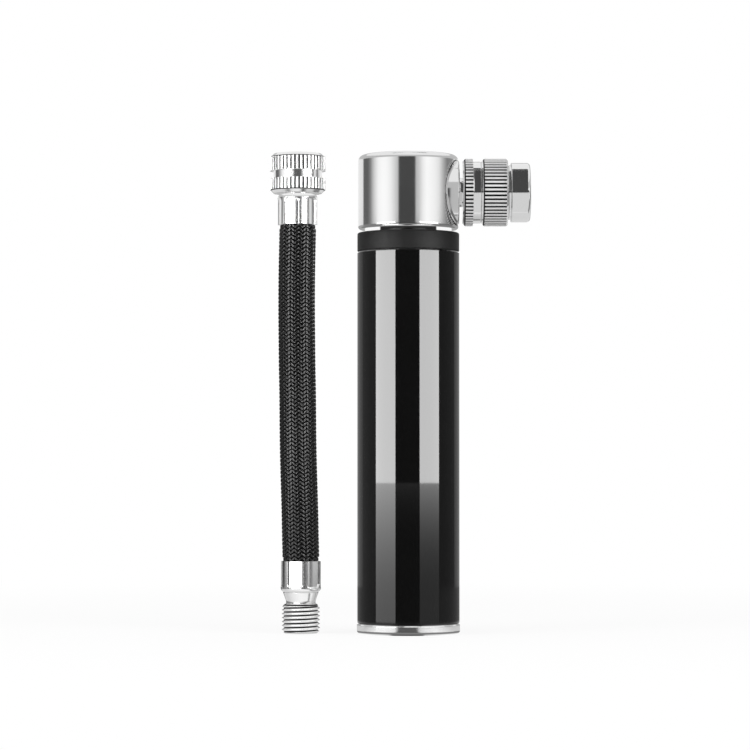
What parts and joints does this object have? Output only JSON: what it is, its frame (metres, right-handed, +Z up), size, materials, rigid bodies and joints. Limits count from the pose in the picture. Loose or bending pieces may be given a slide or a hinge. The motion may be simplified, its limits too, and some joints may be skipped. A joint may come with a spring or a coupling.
{
  "type": "bicycle mini pump",
  "caption": "Slim upright hand pump: sliding plunger in a black barrel, swivelling bright head with a knurled side chuck, and a separate braided hose with a screw fitting at each end.",
  "frame": {"origin": "centre of the base cap's foot, on the surface that the pump stands on", "axes": "+Z up the barrel, +X out of the chuck's valve socket at rest, -Y towards the viewer"},
  "size_m": [0.0531, 0.021, 0.0978],
  "materials": {
    "polished_metal": "polished, fine turning marks",
    "gloss_black": "gloss black anodised tube",
    "satin_black": "satin black anodised tube",
    "black_plastic": "matte moulded plastic",
    "bush_plastic": "unpainted bearing plastic",
    "seal_rubber": "matte black rubber",
    "spring_steel": "bright steel",
    "brass": "turned brass",
    "chuck_metal": "bright turned metal, straight knurl",
    "hose_metal": "nickel-plated brass",
    "hose_rubber": "black rubber hose",
    "braid": "black braided yarn"
  },
  "bodies": {
    "barrel": {"barrel_tube": "gloss_black", "base_cap": "polished_metal", "base_cap_o_ring": "seal_rubber", "collar": "black_plastic", "bush_snap_ring": "spring_steel"},
    "guide_bush": {"rod_bush": "bush_plastic"},
    "plunger": {"pump_head": "polished_metal", "plunger_tube": "satin_black", "head_o_ring": "seal_rubber", "piston": "black_plastic", "piston_cup_seal": "seal_rubber", "piston_retainer": "brass", "end_bumper": "seal_rubber", "check_spring": "spring_steel", "outlet_nipple": "chuck_metal", "nipple_o_ring": "seal_rubber"},
    "valve_ball": {"check_ball": "spring_steel"},
    "chuck": {"chuck_sleeve": "chuck_metal", "chuck_nose": "chuck_metal", "chuck_gasket": "seal_rubber", "valve_depressor": "brass"},
    "hose": {"hose_male_fitting": "hose_metal", "lower_ferrule": "hose_metal", "hose_liner": "hose_rubber", "hose_braid": "braid", "upper_ferrule": "hose_metal", "hose_tail": "hose_metal"},
    "hose_nut": {"swivel_nut": "hose_metal", "nut_gasket": "seal_rubber", "nut_depressor": "brass"}
  },
  "joints": [
    {"name": "head_swivel", "type": "hinge", "parent": "barrel", "child": "guide_bush", "pos_m": [0, 0, 0.077], "axis": [0, 0, 1], "range_deg": [-140, 140]},
    {"name": "pump_stroke", "type": "slide", "parent": "guide_bush", "child": "plunger", "axis": [0, 0, 1], "range_m": [0, 0.0555]},
    {"name": "check_valve_lift", "type": "slide", "parent": "plunger", "child": "valve_ball", "axis": [0, 0, 1], "range_m": [0, 0.0008], "stiffness_N_per_m": 30, "springref_m": -0.0005, "deforming": ["check_spring"]},
    {"name": "chuck_spin", "type": "hinge", "parent": "plunger", "child": "chuck", "pos_m": [0.015, 0, 0.0899], "axis": [1, 0, 0], "continuous": true},
    {"name": "hose_lift", "type": "slide", "parent": "barrel", "child": "hose", "axis": [0, 0, 1], "range_m": [0, 0.12]},
    {"name": "hose_nut_spin", "type": "hinge", "parent": "hose", "child": "hose_nut", "pos_m": [-0.0226, 0, 0.0937], "axis": [0, 0, 1], "continuous": true}
  ]
}
